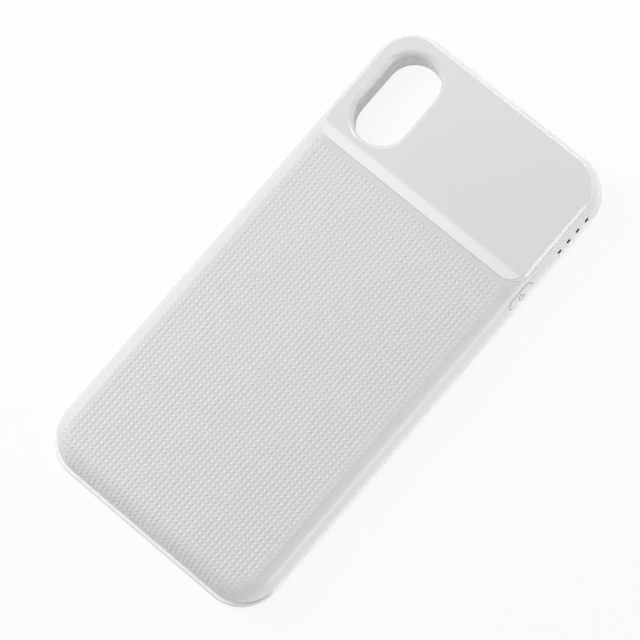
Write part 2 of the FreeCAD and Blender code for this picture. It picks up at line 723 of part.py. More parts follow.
def make_power_button():
    """Pill button whose face follows the round side, held behind the wall by two wings."""
    body = new_body("button_body")
    cap = new_sketch(body, "button_outline", "wing_back", "YZ_Plane")
    draw_pill(cap, "button_y", "button_level", "button_length", "button_height")
    pad(body, "button_cap", cap, "half_width - wing_back + button_proud")
    face = new_sketch(body, "button_face_outline", "-button_y - button_length", "XZ_Plane")
    radius = number("edge_round + button_proud")
    centre = V(number("shell_right - edge_round"), number("round_level"))
    roof = number("button_level + button_height")
    floor = number("button_level - button_height")
    outside = number("half_width + edge_round")
    angles = [math.asin((level - centre.y) / radius) for level in (floor, roof)]
    arc = face.addGeometry(Part.ArcOfCircle(Part.Circle(centre, UP, radius), *angles))
    low, high = face.Geometry[arc].StartPoint, face.Geometry[arc].EndPoint
    corners = [high, V(outside, roof), V(outside, floor), low]
    lines = [face.addGeometry(Part.LineSegment(*pair)) for pair in zip(corners, corners[1:])]
    tie(face, "Coincident", arc, 2, lines[0], 1)
    tie(face, "Coincident", lines[0], 2, lines[1], 1)
    tie(face, "Coincident", lines[1], 2, lines[2], 1)
    tie(face, "Coincident", lines[2], 2, arc, 1)
    for line, way in zip(lines, ("Horizontal", "Vertical", "Horizontal")):
        tie(face, way, line)
    hold(face, "Radius", (arc,), "edge_round + button_proud")
    hold(face, "DistanceX", (-1, 1, arc, 3), "shell_right - edge_round")
    hold(face, "DistanceY", (-1, 1, arc, 3), "round_level")
    hold(face, "DistanceY", (-1, 1, lines[0], 1), "button_level + button_height")
    hold(face, "DistanceX", (-1, 1, lines[1], 1), "half_width + edge_round")
    hold(face, "DistanceY", (-1, 1, lines[2], 1), "button_level - button_height")
    pocket(body, "button_face", face, "2 * button_length", flip=True)

    def face_rim(edge):
        return edge.BoundBox.XMin > number("guide_face")
    dress(body, "Chamfer", "button_edge", "button_rim", face_rim)
    wings = new_sketch(body, "wing_outline", "wing_back", "YZ_Plane")
    draw_box(wings, "button_y - button_length / 2 - wing_length",
             "button_y + button_length / 2 + wing_length",
             "button_level - wing_height / 2", "button_level + wing_height / 2")
    pad(body, "button_wings", wings, "wing_thickness")
    node(body, "power_button")


def make_switch():
    """Side-push switch on the board: body with a blind slot, and the plunger that the button carries."""
    case = box("switch_case", "switch_left", "switch_right", "button_y - switch_length / 2",
               "button_y + switch_length / 2", "board_top", "board_top + switch_height")
    slot = box("switch_slot", "plunger_end - button_travel - plunger_gap", "switch_right + plunger_gap",
               "button_y - plunger_width / 2 - plunger_gap", "button_y + plunger_width / 2 + plunger_gap",
               "plunger_low - plunger_gap", "plunger_low + plunger_height + plunger_gap")
    node(joined("Cut", "switch_cut", [case, slot]), "switch_body")
    plunger = box("plunger", "plunger_end", "wing_back", "button_y - plunger_width / 2",
                  "button_y + plunger_width / 2", "plunger_low", "plunger_low + plunger_height")
    node(plunger, "switch_plunger")


def make_lights():
    """Four side-lit diodes on the board's edge and the clear guide that carries them to the wall."""
    last = f"half_length - light_from_end - {LIGHT_COUNT - 1} * light_pitch"
    for index in range(LIGHT_COUNT):
        y = f"half_length - light_from_end - {index} * light_pitch"
        diode = box(f"diode_{index + 1}", "board_right - diode_depth", "board_right",
                    f"{y} - diode_length / 2", f"{y} + diode_length / 2",
                    "board_top", "board_top + diode_height")
        node(diode, f"light_diode_{index + 1}")
    body = new_body("guide_body")
    bar = new_sketch(body, "light_bar_outline", "light_level - light_bar_height / 2")
    draw_box(bar, "bar_left", "bar_left + light_bar_depth", f"{last} - light_bar_end",
             "half_length - light_from_end + light_bar_end")
    pad(body, "light_bar", bar, "light_bar_height")
    prongs = new_sketch(body, "light_prong_outlines", "bar_left", "YZ_Plane")
    for index in range(LIGHT_COUNT):
        draw_light(prongs, index, "0")
    pad(body, "light_prongs", prongs, "light_right - bar_left")
    node(body, "light_guide")


def make_port():
    """Charging socket: drawn metal shell with ears on the board, and the moulded tongue inside."""
    body = new_body("port_body")
    outside = new_sketch(body, "port_outline", "-port_mouth", "XZ_Plane")
    draw_pill(outside, "port_x", "port_level", "port_width", "port_height")
    pad(body, "port_block", outside, "port_depth")
    inside = new_sketch(body, "port_inside_outline", "-port_mouth", "XZ_Plane")
    draw_pill(inside, "port_x", "port_level", "port_width - 2 * port_metal", "port_height - 2 * port_metal")
    pocket(body, "port_inside", inside, "port_depth - port_metal", flip=True)
    ears = new_sketch(body, "port_ear_outlines", "board_top")
    for edge, sign in (("port_width / 2", "+"), ("-port_width / 2", "-")):
        near = f"port_x + {edge} {'-' if sign == '+' else '+'} port_metal / 2"
        far = f"port_x + {edge} {sign} port_ear"
        left, right = (near, far) if sign == "+" else (far, near)
        draw_box(ears, left, right, "port_end + port_ear", "port_end + 2 * port_ear")
    pad(body, "port_ears", ears, "port_ear_thickness")
    node(body, "port_shell")
    rear = "port_end + port_metal"
    insert = box("tongue_block", "port_x - tongue_width / 2", "port_x + tongue_width / 2", rear,
                 f"{rear} + tongue_block_depth", "port_level - tongue_block_height / 2",
                 "port_level + tongue_block_height / 2")
    blade = box("tongue_blade", "port_x - tongue_width / 2", "port_x + tongue_width / 2", rear,
                "port_mouth - tongue_setback", "port_level - tongue_thickness / 2",
                "port_level + tongue_thickness / 2")
    node(joined("MultiFuse", "tongue_union", [insert, blade]), "port_tongue")


def make_board():
    """Circuit board beside the camera tunnel, notched for the socket."""
    body = new_body("board_body")
    outline = new_sketch(body, "board_outline", "board_level")
    draw_box(outline, "board_left", "board_right", "board_front", "board_back",
             "board_corner", "board_end_corner")
    pad(body, "board_block", outline, "board_thickness")
    notch = new_sketch(body, "board_notch_outline", "board_top")
    draw_box(notch, "port_x - port_width / 2 - board_notch_gap", "port_x + port_width / 2 + board_notch_gap",
             "port_end - board_notch_gap", "board_back + board_end_room")
    pocket(body, "board_notch", notch)
    holes = new_sketch(body, "board_hole_rounds", "board_top")
    draw_circles(holes, BOARD_SCREWS, "bore_radius")
    pocket(body, "board_holes", holes)
    node(body, "main_board")


def make_board_parts():
    """Chips on the board's upper face, coil and capacitors under it."""
    middle = "(board_left + board_right) / 2"
    for name, x, y, side in (
            ("driver_chip", middle, "board_front + driver_from_front", "driver_side"),
            ("charge_chip", f"{middle} + charger_shift", "board_front + charger_from_front", "charger_side"),
            ("control_chip", f"{middle} + control_shift", "board_back - control_from_back", "control_side")):
        node(block(f"{name}_block", x, y, side, side, "board_top", "board_top + chip_height"), name)
    coil = block("inductor_block", f"{middle} + inductor_shift", "board_front + inductor_from_front",
                 "inductor_side", "inductor_side", "board_level - inductor_height", "board_level")
    cut = doc.addObject("Part::Chamfer", "inductor_corners")
    cut.Base = coil
    doc.recompute()
    bevel = number("inductor_bevel")
    upright = [index for index, edge in enumerate(coil.Shape.Edges, start=1)
               if abs(edge.tangentAt(edge.FirstParameter).z) > 0.9]
    cut.Edges = [(index, bevel, bevel) for index in upright]
    node(cut, "power_inductor")
    tanks = [block(f"tank_{index + 1}", f"board_left + tank_from_left + {index} * tank_pitch",
                   "board_back - tank_from_back", "tank_width", "tank_length",
                   "board_level - tank_height", "board_level") for index in range(4)]
    node(joined("Compound", "tanks", tanks), "resonance_capacitors")
    filters = [block(f"filter_{index + 1}", f"{middle} + inductor_shift + {index - 2} * filter_pitch",
                     "board_front + filter_from_front", "filter_width", "filter_length",
                     "board_level - filter_height", "board_level") for index in range(5)]
    node(joined("Compound", "filters", filters), "filter_capacitors")


def make_cell():
    """Pouch cell taped under the shell, its protection board, welding tabs and two leads."""
    body = new_body("cell_body")
    outline = new_sketch(body, "cell_outline", "cell_floor")
    draw_box(outline, "-cell_right", "cell_right", "cell_front", "cell_end", "cell_corner", "cell_corner")
    pad(body, "cell_block", outline, "cell_roof - cell_floor")
    flat = (level_edges("cell_floor"), level_edges("cell_roof"))
    dress(body, "Chamfer", "cell_edge", "cell_edge_bevel", lambda edge: any(test(edge) for test in flat))
    node(body, "battery_cell")
    strips = [block(f"tape_{side}", f"{sign} tape_spread / 2", "(cell_front + cell_end) / 2", "tape_width",
                    "(cell_end - cell_front - 2 * tape_margin)", "cell_roof", "cell_bay_top")
              for side, sign in (("right", ""), ("left", "-"))]
    node(joined("Compound", "tapes", strips), "cell_tape")
    guard = box("guard", "wire_x - cell_board_width / 2", "wire_x + cell_board_width / 2",
                "cell_board_front", "cell_board_end", "board_level", "board_top")
    node(guard, "cell_board")
    tabs = [box(f"tab_{side}", f"wire_x {sign} tab_spread / 2 - tab_width / 2",
                f"wire_x {sign} tab_spread / 2 + tab_width / 2",
                "cell_end", "cell_end + tab_length", "board_top", "board_top + tab_thickness")
            for side, sign in (("right", "+"), ("left", "-"))]
    node(joined("Compound", "tabs", tabs), "cell_tabs")
    along_y = FreeCAD.Rotation(V(1, 0, 0), -90)
    for name, shift in (("lead_positive", "0"), ("lead_negative", "wire_spread")):
        lead = rod(f"{name}_rod", "wire_radius", "board_front + wire_lap - cell_board_end + wire_lap",
                   f"wire_x + {shift}", "cell_board_end - wire_lap", "wire_level", along_y)
        node(lead, name)


def make_coil():
    """Flat charging coil on the plate, its ferrite sheet, and two leads that rise to the board."""
    winding = joined("Cut", "coil_ring", [
        rod("coil_disc", "coil_outer / 2", "coil_thickness", "0", "coil_y", "plate_thickness"),
        rod("coil_eye", "coil_inner / 2", "coil_thickness", "0", "coil_y", "plate_thickness")])
    node(winding, "coil_winding")
    sheet_low = "plate_thickness + coil_thickness"
    node(block("ferrite_block", "0", "coil_y", "ferrite_side", "ferrite_side", sheet_low,
               f"{sheet_low} + ferrite_thickness"), "ferrite_sheet")
    for index, name in enumerate(("coil_lead_inner", "coil_lead_outer")):
        x = f"wire_x + wire_spread + {index + 1} * coil_lead_offset"
        start = f"coil_y + sqrt((coil_outer / 2) ^ 2 - ({x} + coil_lead_half) ^ 2)"
        turn = f"board_front + wire_lap + {index} * coil_lead_inset"
        low = "plate_thickness + coil_lead_half"
        body = new_body(f"{name}_body")
        path = new_sketch(body, f"{name}_path", x, "YZ_Plane")
        bend = number("coil_lead_bend")
        begin = V(number(f"{start} + coil_lead_half"), number(low))
        corner = V(number(turn), begin.y)
        top = V(corner.x, number("board_level"))
        run = path.addGeometry(Part.LineSegment(begin, corner - V(bend, 0)))
        circle = Part.Circle(corner + V(-bend, bend), UP, bend)
        arc = path.addGeometry(Part.ArcOfCircle(circle, -math.pi / 2, 0.0))
        rise = path.addGeometry(Part.LineSegment(corner + V(0, bend), top))
        tie(path, "Tangent", run, 2, arc, 1)
        tie(path, "Tangent", arc, 2, rise, 1)
        tie(path, "Horizontal", run)
        tie(path, "Vertical", rise)
        hold(path, "Radius", (arc,), "coil_lead_bend")
        hold(path, "DistanceX", (-1, 1, run, 1), f"{start} + coil_lead_half")
        hold(path, "DistanceY", (-1, 1, run, 1), low)
        hold(path, "DistanceX", (-1, 1, rise, 2), turn)
        hold(path, "DistanceY", (-1, 1, rise, 2), "board_level")
        section = new_sketch(body, f"{name}_section", f"-({start} + coil_lead_half)", "XZ_Plane")
        draw_box(section, f"{x} - coil_lead_half", f"{x} + coil_lead_half",
                 f"{low} - coil_lead_half", f"{low} + coil_lead_half")
        pipe = body.newObject("PartDesign::AdditivePipe", f"{name}_pipe")
        pipe.Profile = section
        pipe.Spine = (path, [""])
        node(body, name)


def make_screws():
    """Self-tapping screws: through the frame from below, and through the board."""
    sets = (("frame_screws", FRAME_SCREWS, "head_seat", "screw_reach"),
            ("board_screws", BOARD_SCREWS, "board_level", "board_thickness + board_bay_top - board_top"))
    for label, places, seat, reach in sets:
        screws = []
        for index, (x, y) in enumerate(places, start=1):
            head = stub(f"{label}_{index}_head", "head_radius", "head_height", x, y, f"{seat} - head_height")
            shank = stub(f"{label}_{index}_shank", "screw_radius", reach, x, y, seat)
            screws.append(joined("MultiFuse", f"{label}_{index}", [head, shank]))
        node(joined("Compound", f"{label}_set", screws), label)


for make in (make_base_frame, make_charge_plate, make_back_shell, make_camera_panel, make_power_button,
             make_switch, make_lights, make_port, make_board, make_board_parts, make_cell, make_coil,
             make_screws):
    make()
doc.recompute()

for item in doc.Objects:
    if "Invalid" in item.State or "Error" in item.State:
        raise RuntimeError(f"{item.Name} is {item.State}")
os.makedirs("parts", exist_ok=True)
for piece in NODES:
    if piece.Shape.isNull() or not piece.Shape.isValid():
        raise RuntimeError(f"{piece.Label} has no valid shape")
for piece in NODES:
    piece.Shape.exportStep(f"parts/{piece.Label}.step")
    print(piece.Label, len(piece.Shape.Solids), round(piece.Shape.Volume, 2))
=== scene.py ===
"""Looks of the slim white wireless power bank: studded back, satin finishes, studio light and camera."""

import logging
import math
from dataclasses import dataclass, field
from enum import Enum
from typing import ClassVar, Union

import bpy
from mathutils import Matrix, Vector


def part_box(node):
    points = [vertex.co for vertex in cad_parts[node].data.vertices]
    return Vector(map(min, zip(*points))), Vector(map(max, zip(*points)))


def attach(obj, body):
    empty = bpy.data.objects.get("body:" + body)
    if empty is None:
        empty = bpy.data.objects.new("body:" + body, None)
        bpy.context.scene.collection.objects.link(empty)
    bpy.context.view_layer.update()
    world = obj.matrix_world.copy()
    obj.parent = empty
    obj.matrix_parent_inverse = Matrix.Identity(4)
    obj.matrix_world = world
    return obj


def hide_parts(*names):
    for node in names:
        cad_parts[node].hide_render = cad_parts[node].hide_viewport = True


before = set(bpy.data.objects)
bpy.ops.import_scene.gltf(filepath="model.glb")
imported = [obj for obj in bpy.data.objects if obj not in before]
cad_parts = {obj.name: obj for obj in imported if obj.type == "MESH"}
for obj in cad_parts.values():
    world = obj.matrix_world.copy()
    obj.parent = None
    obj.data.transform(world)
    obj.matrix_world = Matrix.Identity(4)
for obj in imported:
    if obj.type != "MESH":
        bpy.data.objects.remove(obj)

log = logging.getLogger("power_bank")
MM = 0.001
WELD = 1e-6  # vertices nearer than this, in metres, are one
NOISE_MEAN = 0.5
PALEST = 0.98
FACTOR = 1  # output of a pattern texture that is a plain value
Triple = tuple[float, float, float]
Colour = Triple
Value = Union["Wire", float, tuple]


class Body(Enum):
    """Rigid bodies of the part that a piece can ride on."""

    BANK = "bank"
    BUTTON = "button"


class Grain(Enum):
    """How a moulded surface came out of its tool: grain features per metre."""

    POLISHED = 900.0
    SATIN = 2200.0
    ETCHED = 4200.0


class Wire:
    """A node socket that takes part in Python arithmetic."""

    def __init__(self, sheet: "MaterialSheet", socket: bpy.types.NodeSocket) -> None:
        """Keep the sheet that the socket's node is on."""
        self.sheet = sheet
        self.socket = socket

    def _maths(self, operation: str, first: Value, second: Value) -> "Wire":
        """Add one Math node for two values."""
        return self.sheet.node("ShaderNodeMath", {"operation": operation}, {0: first, 1: second})

    def __add__(self, other: Value) -> "Wire":
        """Sum of this value and another."""
        return self._maths("ADD", self, other)

    __radd__ = __add__

    def __sub__(self, other: Value) -> "Wire":
        """This value less another."""
        return self._maths("SUBTRACT", self, other)

    def __rsub__(self, other: Value) -> "Wire":
        """Another value less this one."""
        return self._maths("SUBTRACT", other, self)

    def __mul__(self, other: Value) -> "Wire":
        """Product of this value and another."""
        return self._maths("MULTIPLY", self, other)

    __rmul__ = __mul__


class MaterialSheet:
    """One material's node tree with a Principled shader, built node by node."""

    MIX_AMOUNT, MIX_LOW, MIX_HIGH = 0, 6, 7  # inputs of a colour Mix node, whose names repeat
    MIX_COLOUR = 2  # its colour output

    def __init__(self, name: str) -> None:
        """Start an empty material.

        Args:
            name: the material's name.
        """
        self.material = bpy.data.materials.new(name)
        self.material.use_nodes = True
        self.tree = self.material.node_tree
        self.shader = next(item for item in self.tree.nodes if item.type == "BSDF_PRINCIPLED")

    def node(self, kind: str, settings: dict, inputs: dict, output: Union[int, str] = 0) -> Wire:
        """Add a node.

        Args:
            kind: Blender's name of the node type.
            settings: properties of the node, set before its sockets are used.
            inputs: values or wires by socket name or number.
            output: the output socket to hand back.

        Returns:
            The chosen output as a wire.
        """
        item = self.tree.nodes.new(kind)
        for key, value in settings.items():
            setattr(item, key, value)
        for key, value in inputs.items():
            self.feed(item.inputs[key], value)
        return Wire(self, item.outputs[output])

    def feed(self, socket: bpy.types.NodeSocket, value: Value) -> None:
        """Link a wire to a socket, or set a plain value on it.

        Args:
            socket: the input to feed.
            value: a wire or a plain value.
        """
        if isinstance(value, Wire):
            self.tree.links.new(value.socket, socket)
        else:
            socket.default_value = value

    def place(self) -> Wire:
        """Object coordinates, in metres."""
        return self.node("ShaderNodeTexCoord", {}, {}, "Object")

    def noise(self, scale: float, detail: float = 2.0, stretch: Triple = (1.0, 1.0, 1.0)) -> Wire:
        """Soft noise from 0 to 1.

        Args:
            scale: features per metre.
            detail: octaves.
            stretch: how much finer the noise is along each axis.

        Returns:
            The noise value.
        """
        spot = self.node("ShaderNodeMapping", {}, {"Vector": self.place(), "Scale": stretch})
        return self.node("ShaderNodeTexNoise", {}, {"Vector": spot, "Scale": scale, "Detail": detail})

    def tint(self, amount: Wire, low: Colour, high: Colour) -> Wire:
        """Blend two colours by an amount."""
        ends = {self.MIX_LOW: (*low, 1.0), self.MIX_HIGH: (*high, 1.0)}
        return self.node("ShaderNodeMix", {"data_type": "RGBA", "clamp_factor": True},
                         {self.MIX_AMOUNT: amount, **ends}, self.MIX_COLOUR)

    def bump(self, height: Wire, depth: float) -> Wire:
        """Surface relief of a depth in metres."""
        return self.node("ShaderNodeBump", {}, {"Strength": 1.0, "Distance": depth, "Height": height})

    def surface(self, **values: Value) -> bpy.types.Material:
        """Set the shader's sockets.

        Args:
            values: values or wires by socket name, with underscores for spaces.

        Returns:
            The finished material.
        """
        for key, value in values.items():
            self.feed(self.shader.inputs[key.replace("_", " ")], value)
        return self.material


def shade(colour: Colour, factor: float) -> Colour:
    """A colour made darker or lighter, kept under full white."""
    return tuple(min(part * factor, PALEST) for part in colour)


@dataclass(frozen=True)
class MouldedPlastic:
    """Injection-moulded plastic with a faint flow mottle and the tool's fine grain."""

    name: str
    colour: Colour
    roughness: float
    grain: Grain = Grain.SATIN
    grain_depth: float = 0.004 * MM
    mottle: float = 0.012
    specular: float = 0.5
    cloud_scale: ClassVar[float] = 45.0
    cloud_detail: ClassVar[float] = 3.0
    cloud_wear: ClassVar[float] = 0.05
    grain_wear: ClassVar[float] = 0.08
    refractive_index: ClassVar[float] = 1.49

    def material(self) -> bpy.types.Material:
        """Build the node material.

        Returns:
            The material with its nodes in place.
        """
        sheet = MaterialSheet(self.name)
        cloud = sheet.noise(self.cloud_scale, self.cloud_detail)
        fine = sheet.noise(self.grain.value)
        dark, pale = (shade(self.colour, 1.0 + sign * self.mottle) for sign in (-1, 1))
        wear = (fine - NOISE_MEAN) * self.grain_wear + (cloud - NOISE_MEAN) * self.cloud_wear
        return sheet.surface(
            Base_Color=sheet.tint(cloud, dark, pale),
            Roughness=wear + self.roughness,
            Normal=sheet.bump(fine, self.grain_depth),
            Specular_IOR_Level=self.specular, IOR=self.refractive_index)


@dataclass(frozen=True)
class DrawnMetal:
    """Plated or drawn metal with fine marks along one axis."""

    name: str
    colour: Colour
    roughness: float
    stretch: Triple = (1.0, 0.05, 1.0)
    mark_scale: ClassVar[float] = 9000.0
    mark_detail: ClassVar[float] = 3.0
    mark_wear: ClassVar[float] = 0.18
    mark_depth: ClassVar[float] = 0.002 * MM
    stain_scale: ClassVar[float] = 260.0
    stain_shade: ClassVar[float] = 0.9

    def material(self) -> bpy.types.Material:
        """Build the node material.

        Returns:
            The material with its nodes in place.
        """
        sheet = MaterialSheet(self.name)
        marks = sheet.noise(self.mark_scale, self.mark_detail, self.stretch)
        stain = sheet.noise(self.stain_scale)
        return sheet.surface(
            Base_Color=sheet.tint(stain, shade(self.colour, self.stain_shade), self.colour),
            Metallic=1.0, Roughness=(marks - NOISE_MEAN) * self.mark_wear + self.roughness,
            Normal=sheet.bump(marks, self.mark_depth))


@dataclass(frozen=True)
class LacqueredBoard:
    """Board laminate: weave under green lacquer, with paler tracks."""

    name: str
    colour: Colour
    weave_scale: ClassVar[float] = 900.0
    weave_twist: ClassVar[float] = 0.4
    weave_share: ClassVar[float] = 0.1
    track_scale: ClassVar[float] = 420.0
    track_gap: ClassVar[float] = 0.05
    track_offset: ClassVar[float] = 0.5
    track_share: ClassVar[float] = 0.7
    track_shade: ClassVar[float] = 1.9
    track_depth: ClassVar[float] = 0.01 * MM
    ripple_scale: ClassVar[float] = 300.0
    ripple_drift: ClassVar[float] = 0.5
    ripple_wear: ClassVar[float] = 0.1
    roughness: ClassVar[float] = 0.28

    def material(self) -> bpy.types.Material:
        """Build the node material.

        Returns:
            The material with its nodes in place.
        """
        sheet = MaterialSheet(self.name)
        across = sheet.node("ShaderNodeSeparateXYZ", {}, {0: sheet.place()}, "X")
        weave = sheet.node("ShaderNodeTexWave", {"bands_direction": "Y"},
                           {"Vector": sheet.place(), "Scale": self.weave_scale,
                            "Distortion": self.weave_twist}, FACTOR)
        tracks = sheet.node("ShaderNodeTexBrick", {"offset": self.track_offset},
                            {"Vector": sheet.place(), "Scale": self.track_scale,
                             "Mortar Size": self.track_gap}, FACTOR)
        ripple = sheet.noise(self.ripple_scale) + across * self.ripple_drift
        pattern = tracks * self.track_share + weave * self.weave_share
        return sheet.surface(
            Base_Color=sheet.tint(pattern, self.colour, shade(self.colour, self.track_shade)),
            Roughness=ripple * self.ripple_wear + self.roughness,
            Normal=sheet.bump(tracks + weave * self.weave_share, self.track_depth))


@dataclass(frozen=True)
class SinteredBody:
    """Pressed and fired ceramic or ferrite with open grain."""

    name: str
    colour: Colour
    roughness: float
    pore_scale: ClassVar[float] = 5200.0
    pore_detail: ClassVar[float] = 4.0
    pore_wear: ClassVar[float] = 0.2
    pore_depth: ClassVar[float] = 0.01 * MM
    dark: ClassVar[float] = 0.75
    pale: ClassVar[float] = 1.2

    def material(self) -> bpy.types.Material:
        """Build the node material.

        Returns:
            The material with its nodes in place.
        """
        sheet = MaterialSheet(self.name)
        pores = sheet.noise(self.pore_scale, self.pore_detail)
        return sheet.surface(
            Base_Color=sheet.tint(pores, shade(self.colour, self.dark), shade(self.colour, self.pale)),
            Roughness=pores * self.pore_wear + (self.roughness - self.pore_wear / 2),
            Normal=sheet.bump(pores, self.pore_depth))


@dataclass(frozen=True)
class WoundCopper:
    """Lacquered wire laid in turns round a centre, its copper darkened in the grooves between turns as
    painted shade.
    """

    name: str
    colour: Colour
    centre: Triple
    turn_width: float
    wave_length: ClassVar[float] = 0.314  # of the wave texture at scale 1
    # painted shade: the copper's colour is scaled down by this in the grooves between turns
    groove_painted_shade: ClassVar[float] = 0.35
    groove_depth: ClassVar[float] = 0.1 * MM
    groove_roughness: ClassVar[float] = 0.5
    turn_wear: ClassVar[float] = 0.2

    def material(self) -> bpy.types.Material:
        """Build the node material.

        Returns:
            The material with its nodes in place.
        """
        sheet = MaterialSheet(self.name)
        away = tuple(-part for part in self.centre)
        spot = sheet.node("ShaderNodeMapping", {}, {"Vector": sheet.place(), "Location": away})
        turns = sheet.node("ShaderNodeTexWave", {"wave_type": "RINGS", "rings_direction": "Z"},
                           {"Vector": spot, "Scale": self.wave_length / self.turn_width,
                            "Distortion": 0.0}, FACTOR)
        # painted shade in the grooves, the copper's own colour on the crest of each turn
        return sheet.surface(
            Base_Color=sheet.tint(turns, shade(self.colour, self.groove_painted_shade), self.colour),
            Metallic=1.0, Roughness=self.groove_roughness - turns * self.turn_wear,
            Normal=sheet.bump(turns, self.groove_depth))


Finish = Union[MouldedPlastic, DrawnMetal, LacqueredBoard, SinteredBody, WoundCopper]


@dataclass
class StudField:
    """Low four-sided studs over the back, running over the round of the end away from the cut-out."""

    columns: int = 46
    rows: int = 75
    height: float = 0.205 * MM
    lift: float = 0.045 * MM
    lift_fade: float = 0.9
    depth: float = 0.12 * MM
    half_run: float = 31.7 * MM
    top_edge: float = 32.85 * MM
    edge_round: float = 5.4 * MM
    end_angle: float = math.radians(80.0)
    corner: float = 10.75 * MM
    pieces: list[bpy.types.Object] = field(default_factory=list)

    def __post_init__(self) -> None:
        """Read where the shell's flat top ends from its own box."""
        low, high = (Vector(corner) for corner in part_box("back_shell"))
        self.top = high.z
        self.flat_x = high.x - self.edge_round
        self.flat_end = low.y + self.edge_round
        self.inner_corner = self.corner - self.edge_round

    def on_round(self, run: float, flat: float) -> float:
        """Bend a run along the surface over the round past the end of the flat.

        Args:
            run: distance along the surface from the middle.
            flat: distance from the middle at which the flat ends.

        Returns:
            The point's distance from the middle in plan.
        """
        if run <= flat:
            return run
        angle = min((run - flat) / self.edge_round, math.pi / 2)
        return flat + self.edge_round * math.sin(angle)

    def past_flat(self, x: float, y: float) -> float:
        """Measure how far a point lies past the flat top's rounded outline.

        Args:
            x: place across the bank.
            y: place along the bank.

        Returns:
            The distance in plan, or 0 inside the outline.
        """
        across = abs(x) - (self.flat_x - self.inner_corner)
        along = (self.flat_end + self.inner_corner) - y
        if across > 0 and along > 0:
            return max(math.hypot(across, along) - self.inner_corner, 0.0)
        return max(across - self.inner_corner, along - self.inner_corner, 0.0)

    def surface_point(self, u: float, v: float) -> tuple[Vector, float]:
        """Wrap a flat grid point over the shell.

        Args:
            u: run across the back from its middle line.
            v: run along the back, toward the cut-out.

        Returns:
            The point on the shell, lifted off it, and its plan distance past the flat.
        """
        x = math.copysign(self.on_round(abs(u), self.flat_x), u)
        y = -self.on_round(-v, -self.flat_end)
        past = self.past_flat(x, y)
        reach = min(past, self.edge_round)
        z = self.top - self.edge_round + math.sqrt(self.edge_round ** 2 - reach ** 2)
        lean = min(reach / self.edge_round, 1.0)
        lift = self.lift * math.sqrt(1.0 - lean * lean * self.lift_fade)
        return Vector((x, y, z + lift)), past

    def build(self) -> None:
        """Make the studs: a grid over the back, poked into pyramids."""
        bpy.ops.object.select_all(action="DESELECT")
        run_end = -self.flat_end + self.edge_round * self.end_angle
        bpy.ops.mesh.primitive_grid_add(x_subdivisions=self.columns, y_subdivisions=self.rows, size=1.0)
        studs = bpy.context.object
        studs.name = "stud_field"
        mesh = studs.data
        outside = []
        limit = self.edge_round * math.sin(self.end_angle)
        for vertex in mesh.vertices:
            u = vertex.co.x * 2 * self.half_run
            v = self.top_edge + (vertex.co.y - 0.5) * (self.top_edge + run_end)
            vertex.co, past = self.surface_point(u, v)
            if past > limit and v < 0:
                outside.append(vertex.index)
        bpy.ops.object.mode_set(mode="EDIT")
        bpy.ops.mesh.select_all(action="DESELECT")
        bpy.ops.object.mode_set(mode="OBJECT")
        for index in outside:
            mesh.vertices[index].select = True
        bpy.ops.object.mode_set(mode="EDIT")
        bpy.ops.mesh.delete(type="VERT")
        bpy.ops.mesh.select_all(action="SELECT")
        bpy.ops.mesh.normals_make_consistent(inside=False)
        bpy.ops.mesh.poke(offset=self.height, use_relative_offset=False, center_mode="MEDIAN")
        bpy.ops.object.mode_set(mode="OBJECT")
        bpy.ops.object.modifier_add(type="SOLIDIFY")
        skin = studs.modifiers[-1]
        skin.thickness = self.depth
        skin.offset = -1.0
        bpy.ops.object.modifier_apply(modifier=skin.name)
        self.pieces = [studs]

    def dress(self, finish: MouldedPlastic) -> None:
        """Give the studs their finish and let them ride on the bank.

        Args:
            finish: plastic of the studs.
        """
        for piece in self.pieces:
            piece.data.materials.append(finish.material())
            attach(piece, Body.BANK.value)
            log.info("%s: %d faces", piece.name, len(piece.data.polygons))


